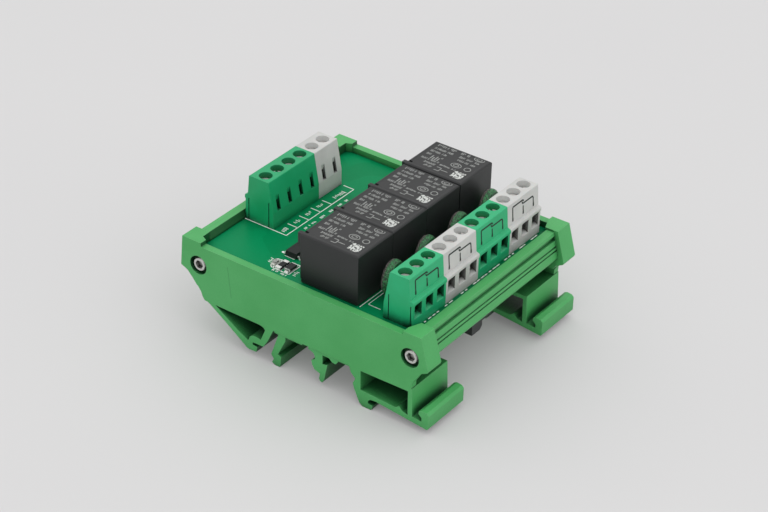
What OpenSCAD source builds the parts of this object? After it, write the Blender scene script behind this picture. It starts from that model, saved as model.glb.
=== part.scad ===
// Four-channel relay interface board in a rail carrier: an extruded tray holds the
// circuit board by its two long edges, and two moulded side plates, each with its own
// foot for a 35 mm mounting rail, close the tray at its ends.
// Millimetres. +X runs across the tray from the input side to the output side,
// +Y along the tray from the near side plate to the far one, +Z is up.
// The board stands on the feet at Z = 0, centred on the origin.

/* [Carrier] */
// Length over both side plates
carrier_len = 71.5; // [70:0.5:120]
// Depth of each foot, measured from the outer face of its side plate
foot_depth = 16.4; // [10:0.2:20]
// Thickness of the rim between the corner blocks of a side plate
rim_t = 2.2; // [1.6:0.1:3]
// Depth of the corner blocks of a side plate
block_t = 6; // [5:0.25:9]
// Drop of the rim below the corner blocks
rim_drop = 1.15; // [0.4:0.05:2]

/* [Board] */
// Width of the circuit board between the tray walls
board_w = 72; // [72:0.1:72.2]
// Thickness of the circuit board
board_t = 1.6; // [1.4:0.1:1.6]

/* [Relays] */
// Length of a relay across the tray
relay_len = 19.1; // [18:0.1:19.4]
// Width of a relay along the tray
relay_w = 15.4; // [14:0.1:15.5]
// Height of a relay over the board
relay_h = 15.6; // [12:0.1:20]
// Spacing of the relays
relay_pitch = 15.62; // [15.55:0.01:15.8]

/* [Terminals] */
// Spacing of the terminal poles
pole_pitch = 5.08; // [5:0.04:5.08]
// Height of the output terminals over the board
output_h = 15.1; // [13:0.1:18]
// Height of the input terminals over the board
input_h = 14.4; // [13:0.1:18]
// Bore over each clamp screw
screw_bore_d = 3.9; // [3.7:0.1:4.5]
// Wall that closes each end of an input block, outside its poles
end_wall = 0.23; // [0.1:0.01:0.25]

/* [Surge discs] */
// Diameter of a surge disc
disc_d = 10; // [8:0.2:12]
// Thickness of a surge disc
disc_t = 2.6; // [2:0.1:4]

/* [Hidden] */
$fn = 48;
ref_x = -40.2;                // left top corner of a side plate
top_z = 29.86;                // top of the corner blocks over the resting plane
y_near = -carrier_len / 2;
y_far = carrier_len / 2;
board_top = top_z - 2.9;
board_bot = board_top - board_t;
board_x0 = ref_x + 3.3;       // left edge of the board
board_y0 = y_near + rim_t + 0.2;
board_len = carrier_len - 2 * (rim_t + 0.2);
screw_left = [4.5, -7.5];     // side screws, from the left top corner of the plate
screw_right = [76, -7.5];
rows_y0 = -6 * pole_pitch;    // start of the output row
relay_x0 = ref_x + 36.1;
relay_y0 = -30.75;
output_back = ref_x + 63.4;
input_back = ref_x + 13.9;
input_y0 = -14.35;
term_d = 9.4;                 // depth of the output blocks
input_d = 9.9;                // depth of the input blocks
disc_x = ref_x + 59.1;
disc_z = board_top + 0.9 + disc_d / 2;
disc_turn = 10;               // each disc is turned a little on its leads

carrier_green = [0.30, 0.62, 0.36];
terminal_green = [0.18, 0.68, 0.46];
terminal_grey = [0.80, 0.80, 0.79];
board_green = [0.05, 0.48, 0.30];
relay_black = [0.17, 0.18, 0.20];
metal = [0.75, 0.75, 0.73];

// ---- helpers ----

// A section drawn in X and Z, swept along Y from y0 by len.
module sweep_y(y0, len, pts) {
  translate([0, y0 + len, 0]) rotate([90, 0, 0]) linear_extrude(height = len) polygon(pts);
}

// Everything given from the left top corner of a side plate goes through this.
module from_corner(y) { translate([ref_x, y, top_z]) children(); }

function relay_y(i) = relay_y0 + i * relay_pitch + (i == 3 ? 0.4 : 0);
function block_y(i) = rows_y0 + i * 3 * pole_pitch;
function disc_y(i) = block_y(i) + 1.5 * pole_pitch + 2.3;
// First pole of the input block that starts at pole k: each block brings its two end walls.
function input_y(k) = input_y0 + k * pole_pitch + (k > 0 ? 3 : 1) * end_wall;

// ---- tray ----

// Outer faces of the tray walls at a depth z below the corner blocks.
function right_face(z) = 78.05 - z * 0.22;
function left_face(z) = 0.40 + z * 0.09;

// Decorative grooves of a wall: one deep and two fine, as [top, bottom, depth].
grooves = [[-1.65, -3.05, 0.9], [-4.6, -5.2, 0.45], [-5.75, -6.3, 0.45]];

right_wall = [
  [75.75, -0.55], [right_face(-0.55), -0.55],
  for (g = grooves) each [
    [right_face(g[0]), g[0]], [right_face(g[0]) - g[2], g[0] - 0.12],
    [right_face(g[1]) - g[2], g[1] + 0.12], [right_face(g[1]), g[1]]],
  [right_face(-8.2), -8.2], [79.1, -9.5]];

left_wall = [
  [1.0, -9.5], [left_face(-8.2), -8.2],
  for (i = [len(grooves) - 1 : -1 : 0]) each [
    [left_face(grooves[i][1]), grooves[i][1]],
    [left_face(grooves[i][1]) + grooves[i][2], grooves[i][1] + 0.12],
    [left_face(grooves[i][0]) + grooves[i][2], grooves[i][0] - 0.12],
    [left_face(grooves[i][0]), grooves[i][0]]],
  [left_face(-0.55), -0.55], [3.05, -0.55], [3.9, -2.4], [3.9, -2.85]];

// The tray section, going round from the inner lip of the right wall.
tray_section = concat(
  right_wall,
  // hooked rails under the floor that hold the middle foot
  [[70.2, -9.5], [70.2, -11.9], [67.3, -11.9], [67.3, -11.0], [69.1, -11.0], [69.1, -9.5],
   [60.9, -9.5], [60.9, -11.0], [62.7, -11.0], [62.7, -11.9], [59.8, -11.9], [59.8, -9.5]],
  left_wall,
  [[3.25, -2.85], [3.25, -2.9 - board_t], [4.7, -2.9 - board_t], [4.7, -5.2], [6.9, -5.4],
   [6.9, -8.0], [73.6, -8.0], [73.6, -5.4], [74.3, -5.2], [74.3, -2.9 - board_t],
   [75.4, -2.9 - board_t], [75.4, -2.85], [74.7, -2.85], [74.7, -2.4]]);

module base_profile() {
  len = carrier_len - 2 * block_t;
  color(carrier_green) from_corner(0) difference() {
    sweep_y(y_near + block_t, len, tray_section);
    for (s = [screw_left, screw_right])
      translate([s[0], y_near + block_t - 1, s[1]]) rotate([-90, 0, 0])
        cylinder(d = 2.6, h = len + 2);
  }
}

// ---- side plates ----

// Face of the plate: low rim between two taller corners, slanted ends, curved
// shoulder at the left running down into the foot, chamfered corner at the right.
plate_face = [
  [-1.05, 0], [5.4, 0], [5.6, -rim_drop], [73.6, -rim_drop], [73.8, 0], [79.3, 0],
  [81.9, -9.4], [81.7, -10.0], [79.5, -11.15], [78.6, -12.6], [76.9, -15.4],
  [76.7, -18.3], [6.6, -18.3],
  [5.81, -17.32], [5.27, -15.85], [4.5, -14.8], [3.49, -13.82], [2.5, -12.6],
  [1.5, -11.5], [0.5, -10.5], [-0.6, -10.0], [-1.72, -9.55]];

// Corner blocks, seen from above; y counts from the outer face.
left_block_plan = [[-3, 0], [5.5, 0], [5.5, 2.3], [3.7, 3.2], [3.7, block_t], [-3, block_t]];
right_block_plan = [[84, 0], [73.7, 0], [73.7, rim_t], [75.2, block_t], [84, block_t]];

// Strap and hook that take the left flange of the rail, with the open triangle.
left_hook = [
  [4.6, -15.0], [5.27, -15.85], [5.81, -17.32], [8.65, -18.9], [13.6, -22.2], [19, -26.0],
  [21.3, -27.7], [22.1, -28.0], [24.7, -27.9], [25.1, -26.15], [23.45, -25.95],
  [23.5, -25.15], [27.25, -25.05], [28.7, -22.66], [30.6, -18.5], [30.6, -17.1],
  [7, -17.1]];
left_opening = [
  [9.6, -17.8], [17.3, -17.95], [25.9, -18.3], [27.3, -18.6], [27.85, -19.4],
  [26.3, -23.2], [25.2, -22.95], [23.6, -22.9], [22.5, -23.6], [21.9, -25.2],
  [18.2, -23.3], [13.9, -20.6]];

// Slanted leg with its small toe, standing inside the rail.
slant_leg = [
  [32.5, -18.0], [34.5, -18.0], [34.5, -20.4], [31.9, -25.9], [33.0, -26.4],
  [32.75, -29.6], [32.5, -29.86], [30.9, -29.86], [29.85, -29.2], [30.5, -28.0],
  [29.6, -26.7]];

// Curved leg near the middle, also inside the rail, with the hump beside it.
curved_leg = [
  [42.4, -18.0], [42.35, -19.4], [43.2, -19.7], [44.1, -20.1], [44.6, -21.0],
  [44.6, -21.9], [43.4, -22.7], [43.75, -24.1], [44.5, -25.3], [46.4, -25.9],
  [46.1, -27.6], [46.5, -28.4], [47.2, -28.5], [47.8, -27.5], [48.85, -22.1],
  [47.2, -22.4], [47.2, -19.5], [49.4, -19.5], [50.4, -20.4], [51.5, -20.6],
  [52.4, -19.6], [52.6, -18.0]];

// Box of the right foot and, at its end, the raised release tail.
foot_box = [
  [56.4, -17.1], [56.6, -19.0], [57.1, -20.4], [58.6, -21.9], [57.8, -23.6],
  [58.35, -25.4], [60.1, -29.1], [61.2, -29.86], [63.9, -29.86], [64.3, -29.5],
  [64.5, -28.4], [62.9, -28.1], [62.9, -27.3], [63.7, -26.6], [65.3, -26.4],
  [82.2, -28.1], [82.6, -27.7], [82.6, -23.6], [82.0, -22.9], [80.4, -22.7], [79.5, -23.1],
  [79.4, -24.1], [80.4, -25.0], [80.4, -26.2], [77.4, -25.9], [77.0, -17.1]];
foot_opening = [
  [60.3, -18.6], [60.4, -24.75], [71.6, -25.25], [72.2, -25.1], [72.9, -24.4],
  [73.6, -24.9], [74.3, -25.6], [75.9, -26.0], [75.8, -18.3]];

module side_plate_body() {
  difference() {
    union() {
      sweep_y(0, rim_t, plate_face);
      // corner blocks: the face section bounded by the plan of each corner
      intersection() {
        sweep_y(0, block_t, concat([[-1.05, 0], [5.5, 0], [5.5, -4.9], [8.2, -5.1],
          [8.2, -10.6], [0.6, -10.6]], [[0.5, -10.5], [-0.6, -10.0], [-1.72, -9.55]]));
        translate([0, 0, -12]) linear_extrude(height = 13)
          polygon(left_block_plan);
      }
      sweep_y(rim_t, block_t - rim_t, [[2, -5.1], [8.2, -5.1], [8.2, -10.6], [2, -10.6]]);
      intersection() {
        sweep_y(0, block_t, [[73.7, 0], [79.3, 0], [81.9, -9.4], [81.7, -10.0],
          [79.5, -11.15], [78.6, -12.6], [73, -12.6], [73, -5.1], [73.7, -5.1]]);
        translate([0, 0, -14]) linear_extrude(height = 15)
          polygon(right_block_plan);
      }
      sweep_y(rim_t, block_t - rim_t, [[72.6, -5.1], [78, -5.1], [78, -12.6], [72.6, -10.6]]);
      // feet
      difference() {
        sweep_y(0, foot_depth, left_hook);
        sweep_y(-1, foot_depth + 2, left_opening);
      }
      sweep_y(0.5, foot_depth - 0.5, [[7, -17.1], [76.9, -17.1], [76.9, -18.3], [7, -18.3]]);
      for (s = [[30.7, 40.3], [48, 57.5]])
        sweep_y(0.5, 1.6, [[s[0], -18.1], [s[1], -18.1], [s[1], -19.2], [s[0], -19.2]]);
      sweep_y(0.5, foot_depth - 0.5, slant_leg);
      sweep_y(0.5, foot_depth - 0.5, curved_leg);
      difference() {
        sweep_y(0, foot_depth, foot_box);
        sweep_y(-1, foot_depth + 2, foot_opening);
      }
    }
    // slots that take the corners of the board
    translate([3.1, rim_t, -2.9 - board_t - 0.1]) cube([4, block_t, board_t + 0.2]);
    translate([72.5, rim_t, -2.9 - board_t - 0.1]) cube([3, block_t, board_t + 0.2]);
    // stepped screw holes
    for (s = [screw_left, screw_right]) translate([s[0], 0, s[1]]) rotate([-90, 0, 0]) {
      translate([0, 0, -1]) cylinder(d = 5.8, h = 2.8);
      translate([0, 0, -1]) cylinder(d = 3, h = block_t + 2);
    }
  }
}

module side_plate_near() { color(carrier_green) from_corner(y_near) side_plate_body(); }

module side_plate_far() {
  color(carrier_green) mirror([0, 1, 0]) from_corner(y_near) side_plate_body();
}

// Pan-headed screw lying along Y, head at y = 0.
module side_screw() {
  rotate([-90, 0, 0]) difference() {
    union() {
      cylinder(d1 = 3.7, d2 = 4.4, h = 0.4);
      translate([0, 0, 0.4]) cylinder(d = 4.4, h = 1.0);
      translate([0, 0, 1.3]) cylinder(d = 2.5, h = 12.5);
    }
    translate([0, 0, -0.1]) cylinder(d = 2.7, h = 1.2, $fn = 6);
  }
}

module side_screws() {
  from_corner(y_near + 0.4)
    for (s = [screw_left, screw_right]) translate([s[0], 0, s[1]]) side_screw();
}

module side_screws_near() { color(metal) side_screws(); }
module side_screws_far() { color(metal) mirror([0, 1, 0]) side_screws(); }

// Black foot hooked into the rails under the tray floor.
module middle_foot() {
  color(relay_black) from_corner(0) {
    // head in the rails, neck and plate
    sweep_y(-0.8, 9.6, [[61.1, -9.5], [68.9, -9.5], [68.9, -10.9], [67.1, -10.9],
      [67.1, -12.0], [72.4, -12.0], [72.4, -18.7], [71.9, -19.2], [60.4, -19.2],
      [59.6, -18.4], [59.6, -17.2], [61.2, -17.0], [61.2, -15.9], [59.6, -15.6],
      [59.6, -12.0], [62.9, -12.0], [62.9, -10.9], [61.1, -10.9]]);
    // deeper pad at its near end
    difference() {
      translate([62.4, -0.8, -21.3]) cube([10, 4.9, 3]);
      translate([62, 2.9, -21.5]) rotate([45, 0, 0]) translate([0, 0, -1.9])
        cube([12, 3, 1.9]);
    }
  }
}

// ---- circuit board ----

relay_pins = [[2, 7.7], [4.4, 1.7], [4.4, 13.7], [16.6, 1.7], [16.6, 13.7]];

function terminal_tails() = [
  for (i = [0 : 11]) [output_back + 4.9, rows_y0 + (i + 0.5) * pole_pitch],
  for (b = [[0, 4], [4, 2]], i = [0 : b[1] - 1])
    [input_back - 4.9, input_y(b[0]) + (i + 0.5) * pole_pitch]];

module circuit_board() {
  color(board_green) difference() {
    translate([board_x0, board_y0, board_bot]) cube([board_w, board_len, board_t]);
    for (i = [0 : 3]) {
      for (p = relay_pins) translate([relay_x0 + p[0], relay_y(i) + p[1], board_bot - 1])
        cylinder(d = 1.5, h = board_t + 2, $fn = 24);
      translate([disc_x, disc_y(i), board_bot - 1]) rotate([0, 0, disc_turn])
        for (s = [-1, 1]) translate([0, s * 3.75, 0]) cylinder(d = 1.0, h = board_t + 2, $fn = 24);
    }
    for (p = terminal_tails()) translate([p[0], p[1], board_bot - 1])
      cylinder(d = 1.5, h = board_t + 2, $fn = 24);
  }
}

// ---- relays ----

// Sealed cuboid cover on a slightly smaller base, with a barely sunk panel for its
// marking, and at one end a lug and a small notch beside it.
module relay_case(i) {
  c = 0.35;
  translate([relay_x0, relay_y(i), board_top]) {
    difference() {
      intersection() {
        sweep_y(0, relay_w, [[0, 1.5], [0, relay_h - c], [c, relay_h],
          [relay_len - c, relay_h], [relay_len, relay_h - c], [relay_len, 1.5]]);
        translate([-1, 0, 0]) rotate([90, 0, 90]) linear_extrude(height = relay_len + 2)
          polygon([[0, 1], [0, relay_h - c], [c, relay_h], [relay_w - c, relay_h],
            [relay_w, relay_h - c], [relay_w, 1]]);
      }
      translate([0.3, 1.3, relay_h - 0.7]) cube([1.2, 0.75, 1]);
      translate([0.9, 0.9, relay_h - 0.05]) cube([relay_len - 1.8, relay_w - 1.8, 1]);
    }
    translate([0.15, 0.15, 0.3]) cube([relay_len - 0.3, relay_w - 0.3, 1.3]);
    translate([-1.1, 0.3, relay_h - 3.65]) cube([1.4, 1.3, 3.45]);
  }
}

module relay_pin_set(i) {
  translate([relay_x0, relay_y(i), board_top])
    for (p = relay_pins) translate([p[0] - 0.5, p[1] - 0.25, -board_t - 1.6])
      cube([1, 0.5, board_t + 1.9]);
}

module relay_1() { color(relay_black) relay_case(0); }
module relay_2() { color(relay_black) relay_case(1); }
module relay_3() { color(relay_black) relay_case(2); }
module relay_4() { color(relay_black) relay_case(3); }
module relay_pins_1() { color(metal) relay_pin_set(0); }
module relay_pins_2() { color(metal) relay_pin_set(1); }
module relay_pins_3() { color(metal) relay_pin_set(2); }
module relay_pins_4() { color(metal) relay_pin_set(3); }

// ---- screw terminals ----

// Housing section, from its back (x = 0) to its wire side at x = d, with a ledge at
// height z that stands out by s over the sloping upper face.
function housing_section(h, z, s, d) = [
  [0, 0], [d, 0], [d, z - 1.3], [d + 0.25, z - 1.1], [d + 0.25, z - 0.3],
  [d + 0.1, z], [d - s, z + 0.35], [d - s - 0.5, h - 0.15],
  [d - s - 0.65, h], [1.95, h], [1.8, h - 0.15], [0.8, 8.9], [0.05, 5.0]];

// A block of poles, with an end wall e outside the first and the last.
module housing(poles, h, z = 8.3, s = 0.85, d = term_d, e = 0) {
  difference() {
    sweep_y(-e, poles * pole_pitch + 2 * e, housing_section(h, z, s, d));
    // shallow vertical grooves in both ends
    for (x = [1.5, 8.6], y = [-1 - e, poles * pole_pitch + e - 0.35])
      translate([x, y, -1]) cube([0.3, 1.35, x < 2 ? 9.0 : 8.0]);
    for (k = [0 : poles - 1]) translate([0, (k + 0.5) * pole_pitch, 0]) {
      // bore for the screw head and the narrower one for its shank
      translate([4.9, 0, h - 3.8]) cylinder(d = screw_bore_d, h = 5);
      translate([4.9, 0, 6]) cylinder(d = 2.9, h = h - 7);
      // pocket of the clamp and mouth for the wire, with its bevelled sill
      translate([2.4, -2.05, 1.5]) cube([5, 4.1, 7.3]);
      sweep_y(-1.65, 3.3, [[d + 1, 2.2], [d + 1, z - 0.95], [7, z - 1.05], [7, 3.7],
        [d - 1.2, 3.5]]);
      // upright guide for a test probe in the back, with its hole at the foot
      sweep_y(-0.75, 1.5, [[-1, 5.05], [1.5, 5.15], [1.5, 5.5], [1.0, 9.7], [-1, 9.7]]);
      translate([1, -0.62, 5.15]) cube([2, 1.24, 2.9]);
      // opening for the soldered tail
      translate([4.2, -0.6, -1]) cube([1.4, 1.2, 3]);
    }
  }
}

// Metal cage round the wire, with its soldered tail.
module contact_set(poles) {
  for (k = [0 : poles - 1]) translate([0, (k + 0.5) * pole_pitch, 0]) difference() {
    union() {
      translate([2.6, -1.95, 1.8]) cube([4.4, 3.9, 6.6]);
      translate([4.4, -0.5, -board_t - 1.6]) cube([1.0, 1.0, 5]);
    }
    translate([2, -1.58, 2.4]) cube([6, 3.16, 5.0]);
    translate([4.9, 0, 5]) cylinder(d = 2.6, h = 5);
  }
}

// Slotted clamp screw, one for each pole, its head a little way down the bore.
module screw_set(poles, h) {
  for (k = [0 : poles - 1]) translate([4.9, (k + 0.5) * pole_pitch, 0]) difference() {
    union() {
      translate([0, 0, h - 3.7]) cylinder(d = 3.5, h = 1.9);
      translate([0, 0, 4.6]) cylinder(d = 2.5, h = h - 8.2);
    }
    rotate([0, 0, 25 + 55 * k]) translate([-3, -0.35, h - 2.6]) cube([6, 0.7, 2]);
  }
}

module output_at(i) { translate([output_back, block_y(i), board_top]) children(); }

// The input row is turned round so that its wires enter from the left.
module input_at(k, poles) {
  translate([input_back, input_y(k) + poles * pole_pitch, board_top])
    rotate([0, 0, 180]) children();
}

module output_terminal_1() { color(terminal_green) output_at(0) housing(3, output_h); }
module output_terminal_2() { color(terminal_grey) output_at(1) housing(3, output_h); }
module output_terminal_3() { color(terminal_green) output_at(2) housing(3, output_h); }
module output_terminal_4() { color(terminal_grey) output_at(3) housing(3, output_h); }
module output_contacts_1() { color(metal) output_at(0) contact_set(3); }
module output_contacts_2() { color(metal) output_at(1) contact_set(3); }
module output_contacts_3() { color(metal) output_at(2) contact_set(3); }
module output_contacts_4() { color(metal) output_at(3) contact_set(3); }
module output_screws_1() { color(metal) output_at(0) screw_set(3, output_h); }
module output_screws_2() { color(metal) output_at(1) screw_set(3, output_h); }
module output_screws_3() { color(metal) output_at(2) screw_set(3, output_h); }
module output_screws_4() { color(metal) output_at(3) screw_set(3, output_h); }
module input_housing(poles) { housing(poles, input_h, 7.9, 0.8, input_d, end_wall); }
module input_terminal() { color(terminal_green) input_at(0, 4) input_housing(4); }
module input_contacts() { color(metal) input_at(0, 4) contact_set(4); }
module input_screws() { color(metal) input_at(0, 4) screw_set(4, input_h); }
module supply_terminal() { color(terminal_grey) input_at(4, 2) input_housing(2); }
module supply_contacts() { color(metal) input_at(4, 2) contact_set(2); }
module supply_screws() { color(metal) input_at(4, 2) screw_set(2, input_h); }

// ---- small parts on the board ----

// Coated disc standing on edge, with two wire leads.
module surge_disc(i) {
  e = disc_t / 2;
  color([0.16, 0.25, 0.20]) translate([disc_x, disc_y(i), disc_z]) rotate([0, 0, disc_turn]) {
    rotate([0, 90, 0]) rotate_extrude() {
      translate([0, -e]) square([disc_d / 2 - e * 0.7, disc_t]);
      intersection() {
        translate([disc_d / 2 - e * 1.3, 0]) circle(r = e * 1.3);
        translate([0, -e]) square([disc_d, disc_t]);
      }
    }
    for (s = [-1, 1]) translate([0, s * 3.75, -disc_z + board_bot - 1.4])
      cylinder(d = 0.7, h = disc_z - board_bot + 0.4, $fn = 24);
  }
}
module surge_disc_1() { surge_disc(0); }
module surge_disc_2() { surge_disc(1); }
module surge_disc_3() { surge_disc(2); }
module surge_disc_4() { surge_disc(3); }

chip_at = [ref_x + 24.6, y_near + 13.2, board_top];
chip_size = [3.9, 9.9, 1.75];

// Driver chip with eight bent leads along each long side.
module driver_chip() {
  lead = [[0.1, 0.9], [-0.45, 0.9], [-0.65, 0.2], [-1.05, 0.2], [-1.05, 0], [-0.5, 0],
    [-0.3, 0.7], [0.1, 0.7]];
  color(relay_black) translate(chip_at) {
    translate([0, 0, 0.15]) intersection() {
      cube(chip_size - [0, 0, 0.15]);
      sweep_y(0, chip_size[1], [[0.12, 0], [0, 0.7], [0.15, 1.6], [chip_size[0] - 0.15, 1.6],
        [chip_size[0], 0.7], [chip_size[0] - 0.12, 0]]);
    }
    for (k = [0 : 7], s = [0, 1])
      translate([s * chip_size[0], 0.505 + k * 1.27 - 0.2, 0]) mirror([s, 0, 0])
        sweep_y(0, 0.4, lead);
  }
}

// The small parts of a channel stand beside its relay.
function channel_y(i) = y_near + 6.5 + i * relay_pitch + (i > 0 ? 1.8 : 0);

module channel_lights() {
  color([0.9, 0.9, 0.85]) for (i = [0 : 3])
    translate([ref_x + 24.3, channel_y(i) + 0.4, board_top]) {
      cube([1.4, 2.8, 0.5]);
      translate([0.1, 0.55, 0.4]) cube([1.2, 1.7, 0.55]);
    }
}

module light_resistors() {
  color([0.1, 0.1, 0.1]) for (i = [0 : 3])
    translate([ref_x + 26.45, channel_y(i) - 0.2, board_top]) cube([1.6, 4.3, 0.65]);
}

// Flat moulded diode with a foot at each end.
module coil_diodes() {
  color(relay_black) for (i = [0 : 3])
    translate([ref_x + 29.2, channel_y(i) - 0.4, board_top]) {
      translate([0, 0.8, 0.12]) cube([1.9, 3.1, 0.98]);
      for (y = [0, 3.7]) translate([0.35, y, 0]) cube([1.2, 1.0, 0.25]);
      for (y = [0.5, 3.8]) translate([0.35, y, 0]) cube([1.2, 0.4, 0.6]);
    }
}

base_profile();
side_plate_near();
side_plate_far();
side_screws_near();
side_screws_far();
middle_foot();
circuit_board();
relay_1();
relay_2();
relay_3();
relay_4();
relay_pins_1();
relay_pins_2();
relay_pins_3();
relay_pins_4();
output_terminal_1();
output_terminal_2();
output_terminal_3();
output_terminal_4();
output_contacts_1();
output_contacts_2();
output_contacts_3();
output_contacts_4();
output_screws_1();
output_screws_2();
output_screws_3();
output_screws_4();
input_terminal();
input_contacts();
input_screws();
supply_terminal();
supply_contacts();
supply_screws();
surge_disc_1();
surge_disc_2();
surge_disc_3();
surge_disc_4();
driver_chip();
channel_lights();
light_resistors();
coil_diodes();
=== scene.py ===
# %% [markdown]
# # A relay board in its rail carrier
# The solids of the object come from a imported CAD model, and they stay as they are: this lesson
# dresses them. It paints the moulded, coated and plated surfaces with shader nodes, and adds what
# is too thin to be a solid of its own: the printing on the board, the marks on the relays and the
# terminals, and the tinned ends of the small parts. Lengths are in metres, and +Z is up.

# %% Load the frame
import bpy
import numpy as np
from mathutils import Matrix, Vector


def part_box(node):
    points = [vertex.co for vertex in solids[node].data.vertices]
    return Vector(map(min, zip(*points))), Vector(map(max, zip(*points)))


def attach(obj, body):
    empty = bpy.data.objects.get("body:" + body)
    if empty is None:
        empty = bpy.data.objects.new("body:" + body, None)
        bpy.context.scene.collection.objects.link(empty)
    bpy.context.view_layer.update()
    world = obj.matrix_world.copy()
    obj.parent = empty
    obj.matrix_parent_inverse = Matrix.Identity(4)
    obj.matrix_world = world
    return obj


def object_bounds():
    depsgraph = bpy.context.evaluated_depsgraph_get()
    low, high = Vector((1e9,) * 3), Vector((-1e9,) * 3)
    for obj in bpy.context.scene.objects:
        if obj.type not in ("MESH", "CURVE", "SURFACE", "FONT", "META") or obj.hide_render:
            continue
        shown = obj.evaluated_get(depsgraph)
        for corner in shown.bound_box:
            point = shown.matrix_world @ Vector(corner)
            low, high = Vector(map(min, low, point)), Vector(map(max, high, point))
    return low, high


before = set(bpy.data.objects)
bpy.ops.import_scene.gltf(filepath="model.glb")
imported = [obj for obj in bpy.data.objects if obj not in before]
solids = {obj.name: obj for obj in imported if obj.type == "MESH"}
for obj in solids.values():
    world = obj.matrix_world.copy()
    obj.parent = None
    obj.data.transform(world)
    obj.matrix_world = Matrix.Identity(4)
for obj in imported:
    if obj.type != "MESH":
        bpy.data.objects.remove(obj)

MM = 0.001
cad_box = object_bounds()
print("solids:", len(solids), "box:", cad_box)

# %% [markdown]
# ## Where things are
# Every place below is measured from the solids themselves, so the dressing follows them if a size
# changes.

# %% Measure the solids
def corners(name):
    """The low and high corner of a solid as numpy rows."""
    return np.array(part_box(name))

board = corners("circuit_board")
board_top = board[1, 2]
relays = [corners(f"relay_{i}") for i in range(1, 5)]
blocks = [corners(f"output_terminal_{i}") for i in range(1, 5)]
discs = [corners(f"surge_disc_{i}") for i in range(1, 5)]
chip = corners("driver_chip")
print("board top", round(board_top, 5), "relay size", np.round(np.diff(relays[0], axis=0), 4))

# %% [markdown]
# ## Shader maths that reads like arithmetic
# A material is a graph of nodes, and writing each link by hand hides the idea. `Value` wraps one
# output socket and overloads the operators, so `1 - mask * 0.5` adds its own Math nodes. Every
# other node comes from `Graph.node`, which sets the node's own settings first, then its inputs.

# %% A class for sockets
class Value:
    """One output socket. Arithmetic on it adds Math nodes to the same graph."""

    def __init__(self, graph, socket):
        self.graph, self.socket = graph, socket

    def math(self, operation, *others):
        return self.graph.node("ShaderNodeMath", dict(operation=operation), self, *others)

    def __add__(self, other): return self.math("ADD", other)
    def __mul__(self, other): return self.math("MULTIPLY", other)
    def __sub__(self, other): return self.math("SUBTRACT", other)
    def __gt__(self, other): return self.math("GREATER_THAN", other)
    def __lt__(self, other): return self.math("LESS_THAN", other)
    __radd__, __rmul__ = __add__, __mul__

    def __rsub__(self, other):
        return self.graph.node("ShaderNodeMath", dict(operation="SUBTRACT"), other, self)

    def either(self, other): return self.math("MAXIMUM", other)
    def size(self): return self.math("ABSOLUTE")

    def step(self, low, high):
        """0 below low, 1 above high and a smooth ramp between."""
        return self.graph.node("ShaderNodeMapRange", dict(interpolation_type="SMOOTHSTEP"),
                                self, low, high)

print("Value ready")

# %% [markdown]
# A `Graph` is the node tree of a material or of the world. Its `node` method is the one way in which
# nodes are made here, so a finish reads as a list of what feeds what.

# %% A class for node trees
class Graph:
    """A tree of nodes, with one method that adds any of them."""

    def __init__(self, tree):
        self.tree = tree

    def node(self, kind, settings, *inputs, out=0, at=None, **named):
        """Adds a node: settings first, then inputs by order, by number (at) and by name."""
        new = self.tree.nodes.new(kind)
        for key, value in settings.items():
            setattr(new, key, value)
        for key, value in [*enumerate(inputs), *(at or {}).items(), *named.items()]:
            self.feed(new, key, value)
        return Value(self, new.outputs[out])

    def feed(self, node, key, value):
        """Links a Value to an input, or writes a plain value on it."""
        socket = node.inputs[key if isinstance(key, int) else key.replace("_", " ")]
        if isinstance(value, Value):
            self.tree.links.new(value.socket, socket)
        else:
            socket.default_value = value

    def parts(self, vector):
        """The X, Y and Z of a vector."""
        first = self.node("ShaderNodeSeparateXYZ", {}, vector)
        return [Value(self, first.socket.node.outputs[i]) for i in range(3)]

print("Graph ready")
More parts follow.
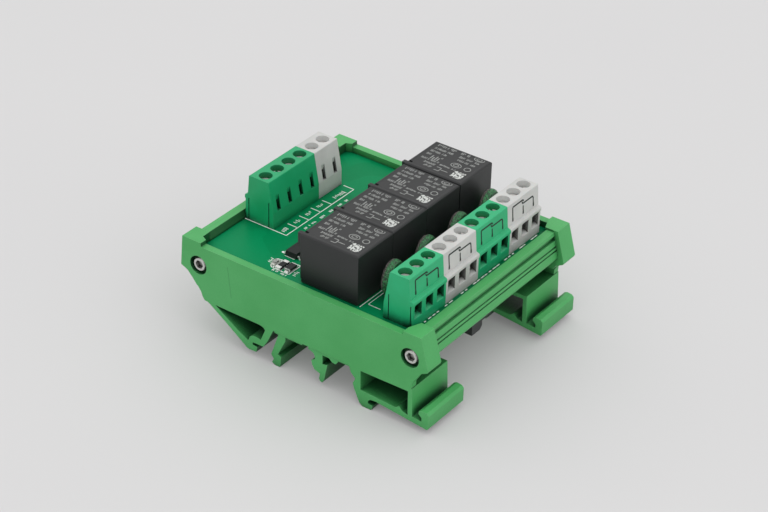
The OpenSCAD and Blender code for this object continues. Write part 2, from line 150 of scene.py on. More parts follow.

# %% [markdown]
# A `Finish` is one material. Numbers that are the same all over go straight onto the shader's own
# sockets when it is made. What varies over the surface is painted on afterwards, painted light
# included: one helper paints shade into the colour where hollows get little light, and another
# paints a pale highlight along edges.

# %% A class for materials
class Finish(Graph):
    """A node material with one Principled shader."""

    def __init__(self, name, **uniform):
        self.material = bpy.data.materials.new(name)
        self.material.use_nodes = True
        super().__init__(self.material.node_tree)
        self.shader = self.tree.nodes["Principled BSDF"]
        self.paint(**uniform)
        self.place = self.node("ShaderNodeTexCoord", {}, out="Object")

    def paint(self, **values):
        """Gives values or Values to the shader's sockets."""
        for key, value in values.items():
            self.feed(self.shader, key, value)

    def facing(self):
        """The X, Y and Z of the way that the surface faces."""
        return self.parts(self.node("ShaderNodeTexCoord", {}, out="Normal"))

    def noise(self, scale, detail=2.0, rough=0.5, place=None):
        """Cloudy noise between 0 and 1, with its blobs about 1/scale metres apart."""
        return self.node("ShaderNodeTexNoise", {}, Vector=place or self.place, Scale=scale,
                         Detail=detail, Roughness=rough)

    def stretched(self, scale):
        """The place, scaled by a factor for each axis: less than 1 draws a pattern out."""
        return self.node("ShaderNodeMapping", {}, self.place, Scale=scale)

    def blend(self, mask, first, second):
        """The first colour where mask is 0 and the second where it is 1."""
        return self.node("ShaderNodeMix", dict(data_type="RGBA"), mask, out=2,
                         at={6: first, 7: second})

    def paint_hollow_shade(self, body, shade, reach, low=0.2, high=0.8):
        """Painted shade: the body colour, sunk towards shade where walls within reach metres close it in.
        """
        open_sky = self.node("ShaderNodeAmbientOcclusion", dict(samples=6), Distance=reach, out="AO")
        return self.blend(open_sky.step(low, high), shade, body)

    def rounded(self, edge):
        """The way that the surface would face if its edges were rounded by edge metres."""
        return self.node("ShaderNodeBevel", dict(samples=4), Radius=edge)

    def paint_edge_highlight(self, body, pale, edge, share=0.5):
        """Painted highlight: the body colour, lightened towards pale along edges, where rounding turns
        the surface.
        """
        true = self.node("ShaderNodeNewGeometry", {}, out="Normal")
        same = self.node("ShaderNodeVectorMath", dict(operation="DOT_PRODUCT"), true,
                         self.rounded(edge), out="Value")
        return self.blend((1 - same).step(0.01, 0.2) * share, body, pale)

    def relief(self, height, distance, strength=0.5, edge=0.0001):
        """Bump from a height, over edges that catch the light as if rounded by edge metres."""
        soft = self.rounded(edge)
        self.paint(Normal=self.node("ShaderNodeBump", {}, Height=height, Distance=distance,
                                    Strength=strength, Normal=soft))

print("Finish ready")

# %% [markdown]
# Colours are easier to judge as they look on a screen, while shaders reckon in linear light, so one
# function turns the first into the second. The finishes are kept by name as they are made.

# %% Colours and the list of finishes
def colour(red, green, blue):
    """A colour written as it looks on a screen, 0 to 255, turned into linear light."""
    shown = np.array([red, green, blue]) / 255
    linear = np.where(shown <= 0.04045, shown / 12.92, ((shown + 0.055) / 1.055) ** 2.4)
    return (*linear, 1.0)

finishes = {}
print("mid grey in linear light:", np.round(colour(128, 128, 128), 3))

# %% [markdown]
# ## Moulded green of the carrier
# The tray is extruded and the side plates are moulded in the same green. Moulded plastic is never
# one flat colour: the pigment drifts a little, and a fine even grain breaks up the highlights. A
# slow cloud of noise moves the colour, a fast one makes the grain, and a Bevel node rounds the
# light on the edges without touching the solid. Extruding draws the pattern out along Y. Grooves and
# hollows get little light, so painted shade sinks the green there, and the rails' inner walls get
# it too; the edges get a painted highlight. A fine witness line, which the mould leaves, runs down
# the near plate with a slight lean.

# %% Carrier finishes
line_lean, line_start, line_half = 0.1237, -22.1 * MM, 0.11 * MM
line_low, line_high = 16.2 * MM, 25.9 * MM
near_face = cad_box[0][1] + 1.25 * MM

def carrier_plastic(name, draw, grain, groove):
    """Green plastic, its noise scaled by draw along Y, with grain metres of texture and a painted
    highlight along its edges. Painted shade turns grooves of about groove metres deep green, and so
    the rails' inner walls and the hollows between the feet. The witness line is where
    x + line_lean * z is within line_half of line_start."""
    f = Finish(name, IOR=1.5)
    along = f.stretched((1, draw, 1))
    cloud, fine = f.noise(90, 3, place=along), f.noise(2600, 2, place=along)
    body = f.blend(cloud.step(0.3, 0.7), colour(70, 166, 90), colour(78, 173, 98))
    body = f.blend(fine.step(0.35, 0.75) * 0.3, body, colour(60, 152, 82))
    x, y, z = f.parts(f.place)
    inner = f.facing()[0] * x < -0.02
    # Painted highlight along the edges, and painted shade on the inner walls of the rails.
    body = f.blend(inner * 0.8, f.paint_edge_highlight(body, colour(128, 200, 142), 0.00022), colour(6, 56, 30))
    line = (x + z * line_lean - line_start).size() < line_half
    line = line * (z > line_low) * (z < line_high) * (y < near_face)
    body = f.blend(line * 0.4, body, colour(20, 90, 50))
    # Painted shade: grooves go deeper green, and with a 14 mm reach so do the hollows under the plates
    # and between the feet.
    body = f.paint_hollow_shade(body, colour(6, 76, 36), groove, 0.25, 0.8)
    f.paint(Base_Color=f.paint_hollow_shade(body, colour(2, 58, 26), 0.014, 0.2, 0.66),
           Roughness=f.noise(160) * 0.16 + 0.42)
    f.relief(fine, grain, edge=0.00018)
    return f

finishes["carrier"] = carrier_plastic("carrier_moulded", 1.0, 0.00003, 0.003)
finishes["tray"] = carrier_plastic("tray_extruded", 0.04, 0.000015, 0.0025)
print("carrier finishes made")

# %% [markdown]
# ## Solder mask of the board
# The board is glass laminate under a green mask. Copper under the mask shows as slightly paler
# fields that stand a hair higher, and the weave of the glass darkens it in a fine mottle. The sawn
# rim of the board shows the bare laminate, and the upright normal tells the rim from the face.

# %% Board finish
def solder_mask():
    """Green coating, paler over copper, with bare laminate on the sawn rim and painted shade near walls.
    """
    f = Finish("board_mask", IOR=1.5, Specular_IOR_Level=0.08)
    copper = f.noise(55, 1, 0.4).step(0.485, 0.5)
    weave = f.noise(1800, 1)
    mask = f.blend(copper * 0.5, colour(2, 134, 82), colour(6, 146, 92))
    mask = f.blend(weave * 0.25, mask, colour(0, 108, 62))
    flat = f.facing()[2].size().step(0.4, 0.6)
    # Painted shade where the parts that stand on the board close it in.
    mask = f.paint_hollow_shade(mask, colour(0, 74, 42), 0.004)
    f.paint(Base_Color=f.blend(flat, colour(150, 165, 110), mask),
           Roughness=f.noise(300) * 0.12 + 0.34)
    f.relief(copper * 0.8 + weave * 0.2, 0.00002, 0.4)
    return f

finishes["board"] = solder_mask()
print("board finish made")

# %% [markdown]
# ## Matt black mouldings
# The relay covers and the middle foot are black thermoplastic. The plastic itself is nearly black:
# the grey that one sees is the pale room mirrored in a satin skin, so a side that mirrors the room
# looks grey and one that mirrors a dark gap looks black.

# %% Black finishes
def matt_black(name, tone):
    """Matt black moulding; tone is its screen grey."""
    f = Finish(name, IOR=1.5)
    fine, cloud = f.noise(2200, 2, 0.6), f.noise(120)
    dark, light = colour(tone * 0.9, tone * 0.94, tone * 0.95), colour(tone, tone * 1.06, tone * 1.09)
    body = f.blend(fine * 0.6 + cloud * 0.4, dark, light)
    # Painted highlight along the edges.
    f.paint(Base_Color=f.paint_edge_highlight(body, colour(74, 77, 78), 0.0002, 0.4),
           Roughness=cloud * 0.12 + 0.4)
    f.relief(fine, 0.00002, edge=0.00025)
    return f

finishes["relay_cover"] = matt_black("relay_cover", 35)
finishes["black_foot"] = matt_black("foot_black", 50)
print("black finishes made")

# %% [markdown]
# ## Terminal housings
# The clamp blocks are moulded in a brighter, smoother plastic than the carrier, some blue-green and
# some light grey. Thin walls let a little light through, so a trace of scattering softens them. The
# wire mouths and screw holes are deep, and painted shade carries them to a dark shade of each
# colour; the edges get a painted highlight.

# %% Terminal finishes
mouth_top, bore_foot = board_top + 9.2 * MM, board_top + 10.2 * MM
front = blocks[0][1, 0] - 0.3 * MM

def block_plastic(name, deep, pale, edge, bore, mouth):
    """Smooth block plastic that drifts between two colours, with a painted highlight along its edges.
    Painted shade sinks its screw holes to the bore colour, and its wire mouths, which lie lower, to
    the mouth colour. The outer front of a block stays clear of that shade."""
    f = Finish(name, IOR=1.5, Subsurface_Weight=0.03, Subsurface_Scale=0.0005)
    cloud, fine = f.noise(140, 3), f.noise(3000, 1)
    body = f.blend(cloud.step(0.3, 0.7) * 0.8 + fine * 0.2, deep, pale)
    # Painted highlight along the edges.
    body = f.paint_edge_highlight(body, edge, 0.0002)
    x, _, z = f.parts(f.place)
    above = z.step(mouth_top, bore_foot)
    # Painted shade in the screw holes and, darker, in the wire mouths.
    shaded_hollows = f.paint_hollow_shade(body, f.blend(above, mouth, bore), 0.005, 0.28, 0.72)
    f.paint(Base_Color=f.blend(x > front, shaded_hollows, body),
           Roughness=cloud * 0.14 + 0.38)
    f.relief(fine, 0.000012, edge=0.0002)
    return f

# The third colour of each is its painted edge highlight; the last two are the painted shade of its screw
# holes and of its wire mouths.
finishes["terminal_green"] = block_plastic("terminal_green", colour(24, 169, 110),
                                           colour(32, 179, 120), colour(110, 216, 168),
                                           colour(2, 124, 70), colour(0, 18, 8))
finishes["input_green"] = block_plastic("input_green", colour(10, 156, 98), colour(18, 166, 108),
                                        colour(80, 190, 140), colour(2, 108, 62), colour(0, 12, 6))
finishes["terminal_grey"] = block_plastic("terminal_grey", colour(190, 192, 189),
                                          colour(204, 205, 202), colour(222, 223, 221),
                                          colour(204, 206, 204), colour(50, 49, 48))
print("terminal finishes made")

# %% [markdown]
# ## Bare metal
# The screws are plated steel, and the clamps and pins are tinned. Metal gets its look from what it
# mirrors, so the colour barely moves, and fine scratches vary the roughness instead. Painted shade
# darkens slots and sockets, and the clamps are given a dark grey that stands in for the shade inside
# them.

# %% Metal finishes
def plated(name, tone, rough, streak, reach=0.5 * MM, shine=1.0):
    """Plated metal of one tone; streak draws its scratches out along an axis. Painted shade darkens
    slots and sockets about reach wide. A shine under 1 is a dull skin that scatters some of the light."""
    f = Finish(name, Metallic=shine)
    lines = f.noise(2400, 3, 0.6, f.stretched(streak))
    metal = f.blend(lines, colour(*(0.88 * t for t in tone)), colour(*tone))
    # Painted shade in slots and sockets.
    f.paint(Base_Color=f.paint_hollow_shade(metal, colour(20, 21, 22), reach, 0.3, 0.8),
           Roughness=lines * 0.18 + rough)
    f.relief(lines, 0.000008, 0.4)
    return f

finishes["screw_steel"] = plated("screw_plated", (234, 231, 228), 0.4, (1, 0.3, 1), shine=0.5)
finishes["socket_screw"] = plated("socket_screw", (222, 222, 218), 0.26, (1, 0.3, 1), 1.6 * MM)
finishes["tinned_metal"] = plated("tinned", (208, 209, 205), 0.3, (1, 1, 0.5))
finishes["solder"] = plated("solder", (250, 250, 247), 0.4, (1, 1, 0.5), 0.2 * MM, 0.4)
# The clamps' dark grey stands in for the shade inside the wire mouths.
finishes["clamp_metal"] = plated("clamp_dull", (96, 97, 95), 0.5, (1, 1, 0.5))
print("metal finishes made")

# %% [markdown]
# ## Coated discs
# Each surge disc is dipped in a dull resin: dark green with paler specks, and a painted greyish pink
# highlight on the side towards the relays. Which way the surface faces tells the two apart. Below the
# disc two bare wires go to the board.

# %% Disc finish
def dipped_resin(wire_top):
    """Speckled coating with a painted pinkish highlight where it faces -X; below wire_top it is bare
    wire.
    """
    f = Finish("disc_resin", IOR=1.5)
    clear_of_rim_highlight = f.facing()[0].step(-0.45, 0.05)
    cloud = f.noise(2700, 2, 0.6)
    speck = f.node("ShaderNodeTexVoronoi", {}, Vector=f.place, Scale=2300.0)
    resin = f.blend(cloud.step(0.42, 0.6), colour(16, 44, 30), colour(44, 134, 72))
    resin = f.blend((1 - speck.step(0.1, 0.35)) * 0.7, resin, colour(120, 136, 120))
    # The greyish pink is a painted highlight on the side that faces -X.
    skin = f.blend(cloud.step(0.4, 0.62), colour(52, 54, 50), colour(120, 108, 110))
    wire = f.parts(f.place)[2] < wire_top
    f.paint(Base_Color=f.blend(wire, f.blend(clear_of_rim_highlight, skin, resin), colour(190, 190, 186)),
            Metallic=wire, Roughness=cloud * 0.2 + 0.4)
    f.relief(cloud + speck * 0.5, 0.00006, 0.7)
    return f

finishes["disc_coating"] = dipped_resin(board_top + 0.75 * MM)
print("disc finish made")

# %% [markdown]
# ## Small black parts
# The chip and the diodes are one solid each, leads and all, so their metal is found by place: what
# lies outside the chip's body along X is tinned, and so are the diodes' feet and the end faces that
# they climb, which are the faces that look along Y. The resistors' ends look along Y too.

# %% Chip, diode and resistor finishes
def black_epoxy(name, metal):
    """Black moulding with tinned metal where metal(finish) gives 1."""
    f = Finish(name, IOR=1.5)
    lead, fine = metal(f), f.noise(2600)
    f.paint(Base_Color=f.blend(lead, f.blend(fine, colour(13, 14, 16), colour(26, 27, 29)),
                              colour(240, 241, 238)),
           Metallic=lead * 0.5, Roughness=fine * 0.1 - lead * 0.1 + 0.52)
    f.relief(fine, 0.00002, edge=0.00008)
    return f

lead_reach, foot_rise = 1.05 * MM, 0.26 * MM

def chip_leads(f):
    """1 outside the chip's body along X."""
    x = f.parts(f.place)[0]
    return (x < chip[0, 0] + lead_reach).either(x > chip[1, 0] - lead_reach)

def end_faces(f):
    """1 on faces that look along Y."""
    return f.facing()[1].size() > 0.7

def diode_leads(f):
    """1 on the feet and on the end faces."""
    return (f.parts(f.place)[2] < board_top + foot_rise).either(end_faces(f))

finishes["chip"] = black_epoxy("chip_epoxy", chip_leads)
finishes["diode"] = black_epoxy("diode_epoxy", diode_leads)
finishes["resistor"] = black_epoxy("resistor_glaze", end_faces)
print("small black finishes made")

# %% [markdown]
# ## Indicator lights
# Each light is a pale frame with a clear dome over it. Switched off, the dome looks milky grey with
# a darker heart, and the frame under it is white.

# %% Light finish
def light_dome():
    """White frame below, milky grey dome above."""
    f = Finish("light_lens", IOR=1.5)
    dome = f.parts(f.place)[2] > board_top + 0.52 * MM
    heart = f.noise(1400, 1).step(0.4, 0.6)
    milk = f.blend(heart, colour(176, 178, 172), colour(140, 144, 140))
    f.paint(Base_Color=f.blend(dome, colour(214, 215, 208), milk), Roughness=heart * 0.15 + 0.25)
    f.relief(heart, 0.00002, 0.4)
    return f

finishes["light_lens"] = light_dome()
print("light finish made")

# %% [markdown]
# ## Dress the solids
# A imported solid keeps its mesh. Only the material in its slots changes: most follow the start of
# the solid's name, and the two colours of the output blocks take turns.

# %% Give every solid its finish
families = {"base": "tray", "side_plate": "carrier", "side_screws": "socket_screw",
            "middle": "black_foot", "circuit": "board", "relay_pins": "tinned_metal",
            "relay": "relay_cover", "driver": "chip", "channel": "light_lens",
            "light_resistors": "resistor", "coil": "diode", "surge": "disc_coating",
            "input_terminal": "input_green", "supply_terminal": "terminal_grey",
            "output_terminal": "terminal_green"}

def finish_for(name):
    """The family whose start fits the name; otherwise metal, by what the name says."""
    if name in ("output_terminal_2", "output_terminal_4"):
        return "terminal_grey"
    for start, family in families.items():
        if name.startswith(start):
            return family
    return "clamp_metal" if "contacts" in name else "screw_steel"

for name, solid in solids.items():
    solid.data.materials.clear()
    solid.data.materials.append(finishes[finish_for(name)].material)
print({name: finish_for(name) for name in sorted(solids)})

# %% [markdown]
# ## From arrays to a piece
# A new piece is an array of points and an array of faces. `piece` makes the mesh, lets it ride on
# the one body there is, and gives it the finish that it is handed.

# %% Make a piece
def piece(name, points, faces, finish):
    """A mesh object at the origin from points and faces."""
    mesh = bpy.data.meshes.new(name)
    faces = faces.tolist() if isinstance(faces, np.ndarray) else faces
    mesh.from_pydata(np.asarray(points).tolist(), [], faces)
    mesh.materials.append(finish.material)
    obj = bpy.data.objects.new(name, mesh)
    bpy.context.scene.collection.objects.link(obj)
    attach(obj, "root")
    print(name, len(points), "points", len(faces), "faces")

# %% [markdown]
# ## Printing, as thin bars
# Ink lies on its surface as a film of a few hundredths of a millimetre. Each stroke becomes a flat
# box with its own width, so no stroke needs a picture. `strokes` builds them all at once: a table
# of line ends goes in, and one mesh comes out.

# %% Turn line ends into boxes
BOX = np.array([[3, 2, 1, 0], [4, 5, 6, 7], [0, 1, 5, 4], [1, 2, 6, 5], [2, 3, 7, 6], [3, 0, 4, 7]])

def strokes(lines, width, film):
    """Boxes along lines (n, 4), which hold a start and an end in the plane of the print. A box has
    the line's ends plus and minus half a width across as corners, at heights 0 and film."""
    lines = np.asarray(lines, float)
    a, b = lines[:, :2], lines[:, 2:]
    along = (b - a) / np.maximum(np.linalg.norm(b - a, axis=1, keepdims=True), 1e-9)
    across = np.stack([-along[:, 1], along[:, 0]], 1) * np.reshape(width, (-1, 1)) / 2
    ring = np.stack([a - across, b - across, b + across, a + across], 1)
    low = np.concatenate([ring, np.zeros(ring.shape[:2] + (1,))], 2)
    points = np.concatenate([low, low + [0, 0, film]], 1).reshape(-1, 3)
    return points, (BOX + 8 * np.arange(len(lines))[:, None, None]).reshape(-1, 4)

def on_plane(points, origin, right, up):
    """Carries (u, v, w) to origin + u * right + v * up + w * their cross product."""
    return np.asarray(origin) + points @ np.stack([right, up, np.cross(right, up)])

print("stroke tools ready")

# %% [markdown]
# Lettering would name things that this part leaves unnamed, so `bars` stands in for it: rows of
# short seeded strokes that read as small print from afar and spell nothing up close.

# %% Rows of bars and simple outlines
def bars(start, end, foot, height, step, seed):
    """Strokes every step from start to end, with seeded gaps, heights and slants."""
    rng = np.random.default_rng(seed)
    at = np.arange(start, end, step)
    at = at[rng.random(len(at)) < 0.82]
    tall = height * rng.uniform(0.55, 1.0, len(at))
    lean = rng.uniform(-0.3, 0.3, len(at)) * step
    low = foot + rng.uniform(0, 1, len(at)) * (height - tall)
    return np.stack([at, low, at + lean, low + tall], 1)

def turned(lines):
    """Swaps the two directions, so that a row of bars runs along Y."""
    return np.asarray(lines, float)[:, [1, 0, 3, 2]]

def chain(*points):
    """Line ends that join points one after another."""
    points = np.array(points, float)
    return np.concatenate([points[:-1], points[1:]], 1)

def oval(x, y, rx, ry, sides=18):
    """An oval as a chain of short lines."""
    angle = np.linspace(0, 2 * np.pi, sides + 1)
    return chain(*np.stack([x + rx * np.cos(angle), y + ry * np.sin(angle)], 1))

print("row tools ready")

# %% [markdown]
# ## Ink
# Board printing is a thick white epoxy, relay marks are a thin grey, and the symbols on the
# terminals are dark. Each film is uneven, so noise breaks its colour slightly.

# %% Ink finishes
def ink(name, thick, thin, cover):
    """Printed film of one colour where it is thick and another where it is thin."""
    f = Finish(name, IOR=1.45)
    film = f.noise(3500, 3, 0.7).step(cover - 0.25, cover)
    f.paint(Base_Color=f.blend(film, thin, thick), Roughness=film * 0.1 + 0.5)
    f.relief(film, 0.00001, 0.4)
    return f

white_ink = ink("ink_white", colour(246, 249, 246), colour(190, 216, 196), 0.5)
grey_ink = ink("ink_grey", colour(160, 163, 160), colour(96, 100, 100), 0.5)
pale_ink = ink("ink_pale", colour(214, 218, 214), colour(160, 164, 160), 0.48)
dark_ink = ink("ink_dark", colour(20, 34, 28), colour(30, 60, 46), 0.5)
print("inks made")

# %% [markdown]
# ## Frame beside the input blocks
# A printed frame gives each input pole a cell, and the supply's two poles share one. Places are in
# millimetres from the near left corner of the board, as on a board drawing. Each cell holds a
# few loose strokes where the real board has its label, so that they spell nothing.

# %% Print of the input frame
frame_left, frame_right, frame_near, frame_far = 0.5, 15.25, 18.8, 50.1
cell_lines = [23.9, 29.15, 34.5, 39.75]
frame_print = [chain((frame_left, frame_near), (frame_right, frame_near), (frame_right, frame_far),
                     (11.6, frame_far))]
frame_print += [chain((11.75, y), (frame_right, y)) for y in cell_lines]

def cell_mark(x, y, seed):
    """Four strokes side by side that never meet, in a field 1.6 by 2.3 mm. Stroke k runs from
    (x + low_k, y + 0.62 k) to (x + high_k, y + 0.62 k + lean_k); the seed gives low, high, lean."""
    rng = np.random.default_rng(seed)
    low, high, lean = rng.uniform([[0], [0.9], [-0.1]], [[0.6], [1.6], [0.1]], (3, 4))
    rows = y + 0.62 * np.arange(4)
    return np.stack([x + low, rows, x + high, rows + lean], 1)

frame_marks = [cell_mark(12.3, y, k) for k, y in enumerate((20.0, 25.5, 30.9, 36.2))]
frame_marks += [cell_mark(12.7, 43.1, 8), cell_mark(12.9, 45.3, 9), chain((13.0, 47.2), (14.7, 47.3))]
print(len(frame_print), "frame lines,", len(frame_marks), "marks")

# %% [markdown]
# ## Outlines and small print
# White boxes ring the light, the resistor and the diode of the near channel. Rows of small print
# stand beside them, in front of the relays, and along the foot of the output blocks, and a long
# line runs beside every relay. The places are again from the corner of the board.

# %% Print round the small parts
channels = [0.0, 17.42, 33.04, 48.66]

def channel_print(y, seed):
    """Boxes and rows of one channel; y is how far it stands from the near one."""
    boxes = [chain((22.2, y + 3.7), (22.2, y + 8.4), (20.6, y + 8.0), (21.0, y + 4.6), (22.2, y + 3.7)),
             chain((22.4, y + 3.75), (24.9, y + 3.75), (24.9, y + 8.4), (22.4, y + 8.4),
                   (22.4, y + 3.75)),
             chain((24.95, y + 8.7), (24.95, y + 3.75), (27.95, y + 3.75), (27.95, y + 9.0),
                   (24.95, y + 9.0))]
    rows = [cell_mark(18.9, y + 5.5, seed), cell_mark(28.4, y + 4.2, seed + 1),
            bars(23.0, 24.6, y + 2.6, 0.8, 0.4, seed + 2), bars(26.0, 27.8, y + 2.5, 0.9, 0.4, seed + 3)]
    return np.concatenate(boxes), np.concatenate(rows)

channel_parts = [channel_print(y, 40 + 4 * k) for k, y in enumerate(channels)]
dashes = [turned(bars(a, b, 16.75, 0.85, 0.42, 60 + k)) for k, (a, b) in enumerate(
    [(24.8, 29.8), (32.0, 33.8), (36.2, 37.7), (39.5, 41.8), (43.1, 44.6)])]
print(len(channel_parts), "channels printed")

# %% [markdown]
# Beside the output blocks, a broken line of short dashes stands in for the row of small print.

# %% Print beside relays, discs and output blocks, and the whole board print
rng = np.random.default_rng(5)
starts = np.arange(7.6, 63.5, 1.9)
starts = starts[rng.random(len(starts)) > 0.25] + rng.uniform(-0.3, 0.3)
outer_x = (blocks[0][1, 0] - board[0, 0]) / MM + 0.2
outer_dashes = np.stack([np.full(len(starts), outer_x), starts, np.full(len(starts), outer_x),
                         starts + rng.uniform(0.8, 1.9, len(starts))], 1)
beside = []
for relay, disc in zip(relays, discs):
    (left, near), (right, far) = (relay[:, :2] - board[0, :2]) / MM
    beside.append(chain((right + 0.45, near + 0.4), (right + 0.45, far - 0.6)))
    (left, near), (right, far) = (disc[:, :2] - board[0, :2]) / MM
    beside.append(chain((left - 0.35, far), (left - 0.35, near - 2.4), (right - 0.4, near - 2.4)))
chip_near = (chip[0, :2] - board[0, :2]) / MM
beside.append(chain((chip_near[0] + 0.9, chip_near[1] - 0.25), (chip_near[0] + 4.4, chip_near[1] - 0.25)))
layers = [(frame_print, 0.28), (frame_marks, 0.26), ([b for b, _ in channel_parts], 0.28),
          ([r for _, r in channel_parts], 0.24), (dashes, 0.26), (beside, 0.22), ([outer_dashes], 0.34)]
lines = np.concatenate([np.concatenate(group) for group, _ in layers])
widths = np.concatenate([np.full(len(np.concatenate(group)), w) for group, w in layers])
points, faces = strokes(lines * MM, widths * MM, 0.03 * MM)
piece("board_print", points + [board[0, 0], board[0, 1], board_top], faces, white_ink)

# %% [markdown]
# ## Dot that marks the chip's first lead
# A round blob of ink: rings of points on a circle that shrink and rise towards the middle, closed
# by one face above and one below.

# %% Round ink dot
def dot(centre, radius, film, around=20):
    """A low dome: ring k is centre + radius * r_k * (cos a, sin a), at height film * h_k."""
    angle = np.linspace(0, 2 * np.pi, around, endpoint=False)
    reach, rise = np.array([[1.0], [1.0], [0.7]]), np.array([[0.0], [0.6], [1.0]])
    rings = np.stack([radius * reach * np.cos(angle), radius * reach * np.sin(angle),
                      np.broadcast_to(film * rise, (3, around))], -1)
    i = np.arange(around)
    j = (i + 1) % around
    sides = [np.stack([i + k, j + k, j + k + around, i + k + around], 1) for k in (0, around)]
    caps = [i[::-1].tolist(), (i + 2 * around).tolist()]
    return rings.reshape(-1, 3) + centre, np.concatenate(sides).tolist() + caps

points, faces = dot([chip[0, 0] - 0.4 * MM, chip[0, 1] + 0.85 * MM, board_top], 0.42 * MM, 0.05 * MM)
piece("chip_dot", points, faces, white_ink)

# %% [markdown]
# ## Marks on the relays
# The tops of the covers carry rows of fine grey print, two oval rings and a pale square. They are
# drawn as bars, ovals and loose tiles, in millimetres from the near left corner of the sunk panel:
# the fields have the right place and tone, and hold no message.

# %% Relay marks
def relay_marks():
    """Groups of line ends, each with its stroke width."""
    large = [bars(1.2, 3.8, 12.4, 1.7, 0.6, 11), bars(4.4, 7.4, 12.4, 1.7, 0.5, 12),
             bars(8.0, 12.6, 12.4, 1.7, 0.5, 13)]
    places = [(1.0, 4.9, 10.6), (5.6, 7.4, 10.6), (9.6, 13.7, 10.6), (14.5, 16.2, 10.6),
              (1.0, 4.2, 8.8), (4.9, 6.2, 8.8), (10.1, 13.6, 8.8), (14.5, 16.2, 8.8),
              (1.0, 2.4, 6.9), (6.0, 6.5, 6.9), (1.0, 3.6, 4.3), (4.1, 6.6, 4.3),
              (3.0, 6.6, 2.7), (4.0, 6.4, 1.2)]
    fine = [bars(a, b, y, 1.05, 0.31, 14 + k) for k, (a, b, y) in enumerate(places)]
    fine.append(bars(7.6, 12.8, 3.9, 0.75, 0.28, 29))
    shapes = [oval(14.9, 13.1, 1.6, 0.95), oval(14.9, 13.1, 0.85, 0.5), oval(11.4, 6.6, 1.6, 1.1),
              oval(11.4, 6.6, 0.8, 0.55), oval(15.2, 6.6, 0.95, 0.95),
              chain((7.6, 2.8), (9.1, 2.8), (9.1, 1.1), (7.6, 1.1)), chain((9.1, 2.0), (11.6, 2.0))]
    bold = [chain((3.3 + 0.75 * k, 5.4), (3.3 + 0.75 * k, 5.4 + tall))
            for k, tall in enumerate((2.0, 1.2, 2.0, 1.5))]
    return [(large, 0.26), (fine, 0.17), (shapes, 0.24), (bold, 0.34)]

groups = relay_marks()
marks = np.concatenate([np.concatenate(group) for group, _ in groups])
mark_widths = np.concatenate([np.full(len(np.concatenate(group)), w) for group, w in groups])
print(len(marks), "strokes on each relay")

# %% [markdown]
# The pale square is a grid of small tiles with seeded gaps. A row of touching tiles is one bar, so
# only the gaps need thought: each tile is a short bar as wide as it is long.

# %% Tiles of the square, and the print of all four covers
def tiles(x, y, side, count, seed):
    """Bars one tile long in a square field; about two tiles in three are there."""
    step = side / count
    ix, iy = np.nonzero(np.random.default_rng(seed).random((count, count)) < 0.66)
    middle = y + (iy + 0.5) * step
    return np.stack([x + ix * step, middle, x + (ix + 1) * step, middle], 1), step

square, tile = tiles(13.0, 0.75, 3.5, 12, 31)
sink, margin = 0.05 * MM, 0.9 * MM
panel_length = 17.3 * MM
for n, relay in enumerate(relays, 1):
    corner = [relay[1, 0] - margin - panel_length, relay[0, 1] + margin, relay[1, 2] - sink]
    points, faces = strokes(marks * MM, mark_widths * MM, 0.035 * MM)
    piece(f"relay_marks_{n}", points + corner, faces, grey_ink)
    points, faces = strokes(square * MM, np.full(len(square), tile * MM), 0.035 * MM)
    piece(f"relay_square_{n}", points + corner, faces, pale_ink)

# %% [markdown]
# ## Contact symbols on the output blocks
# Each block of three poles shows a changeover contact: two side legs, a bent blade between them and
# a short centre leg. The face that carries it leans back, so the drawing plane leans with it.

# %% Symbols on the sloping faces
symbol = np.concatenate([
    chain((2.5, 0.3), (2.5, 4.55), (7.55, 4.55), (7.95, 4.1)), chain((7.1, 4.1), (7.5, 3.45),
    (12.35, 3.45), (12.7, 3.0), (12.75, 0.3)), chain((7.65, 2.75), (7.65, 0.3)),
    chain((2.5, 0.2), (2.5, 1.2)), chain((7.65, 0.2), (7.65, 1.1)), chain((12.75, 0.2), (12.75, 1.2))])
weights = np.repeat([0.44, 0.6], [len(symbol) - 3, 3])
foot_in, head_in, foot_up = 1.10, 1.58, 8.65
for n, (low, high) in enumerate(blocks, 1):
    foot = np.array([high[0] - foot_in * MM, low[1], low[2] + foot_up * MM])
    head = np.array([high[0] - head_in * MM, low[1], high[2] - 0.15 * MM])
    up = (head - foot) / np.linalg.norm(head - foot)
    points, faces = strokes(symbol * MM + [0, 0.55 * MM, 0, 0.55 * MM], weights * MM, 0.05 * MM)
    points[:, 2] -= 0.02 * MM
    piece(f"contact_symbol_{n}", on_plane(points, foot, (0, 1, 0), up), faces, dark_ink)

# %% [markdown]
# ## Tinned ends of the resistors
# A chip resistor's ends are dipped in solder, which wraps round top, end and underside. Each end is
# a U-shaped section, swept across the part's width.

# %% Wraps round the resistor ends
def end_wrap(x0, x1, end, inward, z0, z1, reach, skin):
    """A U-shaped strip in millimetres. Its section runs from reach inside the end over the top,
    down the end and back under; the inner path is the same one, skin further in."""
    s = np.sign(inward)
    path = np.array([(end + s * reach, z1 + skin), (end - s * skin, z1 + skin),
                     (end - s * skin, z0), (end + s * reach, z0)])
    inner = np.array([(end + s * reach, z1 - skin), (end + s * skin, z1 - skin),
                      (end + s * skin, z0 + skin), (end + s * reach, z0 + skin)])
    section = np.concatenate([path, inner])
    points = np.concatenate([np.c_[np.full(8, x), section] for x in (x0 - skin, x1 + skin)])
    k = np.arange(3)
    quads = np.concatenate([
        np.stack([k, k + 1, k + 9, k + 8], 1), np.stack([k + 5, k + 4, k + 12, k + 13], 1),
        [[0, 8, 12, 4], [3, 7, 15, 11]], np.stack([k, k + 4, k + 5, k + 1], 1),
        np.stack([k + 8, k + 9, k + 13, k + 12], 1)])
    return points, quads if s < 0 else quads[:, ::-1]

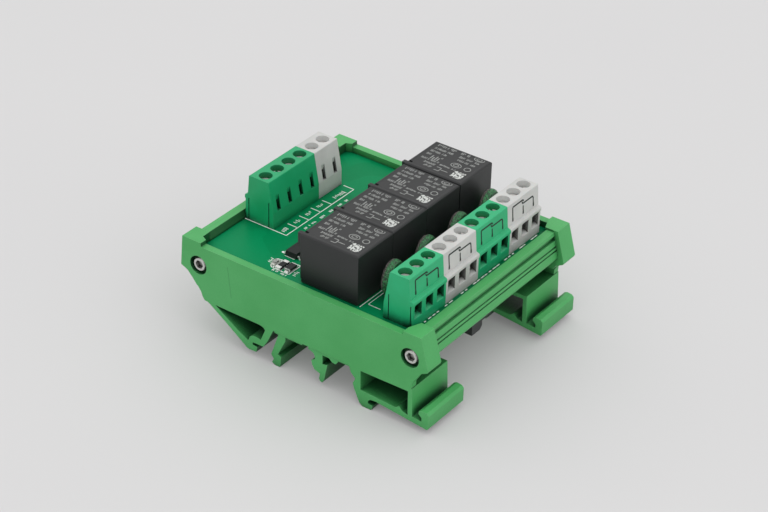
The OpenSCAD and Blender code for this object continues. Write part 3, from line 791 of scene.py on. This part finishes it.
low, high = corners("light_resistors") / MM
part_length = high[1] - low[1] - channels[-1]
wraps = [end_wrap(low[0], high[0], end, side, low[2] + 0.01, high[2], 0.95, 0.03)
         for y in channels for end, side in ((low[1] + y, 1), (low[1] + y + part_length, -1))]
counts = np.arange(len(wraps)) * 16
points = np.concatenate([p for p, _ in wraps])
faces = np.concatenate([f + c for (_, f), c in zip(wraps, counts)])
piece("resistor_ends", points * MM, faces, finishes["solder"])

# %% [markdown]
# ## Floor
# A plain pale floor catches the shadow. It is a stage, not part of the object. It also glows faintly
# for camera, glossy and transmission rays, which keeps its shadows pale. The glow adds nothing to the
# diffuse light on the object, though a shiny face does mirror it.

# %% Floor
def pale_floor():
    """Matt light grey with a trace of unevenness; its glow is left out for diffuse rays."""
    f = Finish("floor_pale", Roughness=0.7, Emission_Strength=1.0)
    seen = [f.node("ShaderNodeLightPath", {}, out=f"Is {ray} Ray")
            for ray in ("Camera", "Glossy", "Transmission")]
    f.paint(Base_Color=f.blend(f.noise(6, 3), colour(191, 191, 192), colour(195, 195, 195)),
            Emission_Color=f.blend(seen[0] + seen[1] + seen[2], colour(0, 0, 0), colour(97, 97, 97)))
    return f

reach, below = 3.0, -0.00005
sheet = bpy.data.meshes.new("floor")
sheet.from_pydata([(x, y, below) for x, y in ((-reach, -reach), (reach, -reach), (reach, reach),
                                             (-reach, reach))], [], [(0, 1, 2, 3)])
sheet.materials.append(pale_floor().material)
floor = bpy.data.objects.new("floor", sheet)
bpy.context.scene.collection.objects.link(floor)
print("floor laid", 2 * reach, "m wide")

# %% [markdown]
# ## Light
# Two wide lamps, at the right and in front, give the light its direction, so that each side of a box
# has its own tone.

# %% Lamps
def wide_lamp(name, place, aim, width, watts):
    """A square lamp that looks from place to aim."""
    data = bpy.data.lights.new(name, "AREA")
    data.shape, data.size, data.energy = "SQUARE", width, watts
    lamp = bpy.data.objects.new(name, data)
    lamp.location = place
    lamp.rotation_euler = (Vector(aim) - Vector(place)).to_track_quat("-Z", "Y").to_euler()
    bpy.context.scene.collection.objects.link(lamp)

wide_lamp("lamp_right", (0.9, -0.15, 0.8), (0, 0, 0), 0.9, 1.0)
wide_lamp("lamp_front", (0.25, -1.0, 0.75), (0, 0, 0.02), 0.8, 0.9)
print("lamps set")

# %% [markdown]
# The world is the even part of the light, as under the pale ceiling of a hall: about half as strong
# along the horizon as overhead. The height of the direction that is looked in, from 0 at the horizon
# to 1 straight up, drives the strength. Hollows that see only the horizon turn dark by themselves.

# %% World
world = bpy.data.worlds.new("hall")
world.use_nodes = True
sky = Graph(world.node_tree)
height = sky.parts(sky.node("ShaderNodeTexCoord", {}, out="Generated"))[2]
at_horizon, overhead = 0.62, 1.26
strength = sky.node("ShaderNodeMapRange", {}, height, 0.0, 1.0, at_horizon, overhead)
sky.feed(world.node_tree.nodes["Background"], "Color", (0.995, 0.985, 0.985, 1.0))
sky.feed(world.node_tree.nodes["Background"], "Strength", strength)
bpy.context.scene.world = world
bpy.context.scene.view_settings.view_transform = "Standard"
print("world set")

# %% [markdown]
# ## Camera
# The object is seen from above its right front corner through a long lens, which keeps its edges
# nearly parallel.

# %% Camera
lens = bpy.data.cameras.new("camera")
lens.lens, lens.sensor_width, lens.clip_start = 107.545, 36.0, 0.01
camera = bpy.data.objects.new("camera", lens)
camera.location = (0.310828, -0.437063, 0.367624)
camera.rotation_euler = np.radians((57.1523, -1.2983, 36.1334))
bpy.context.scene.collection.objects.link(camera)
bpy.context.scene.camera = camera
print("camera at", tuple(camera.location))
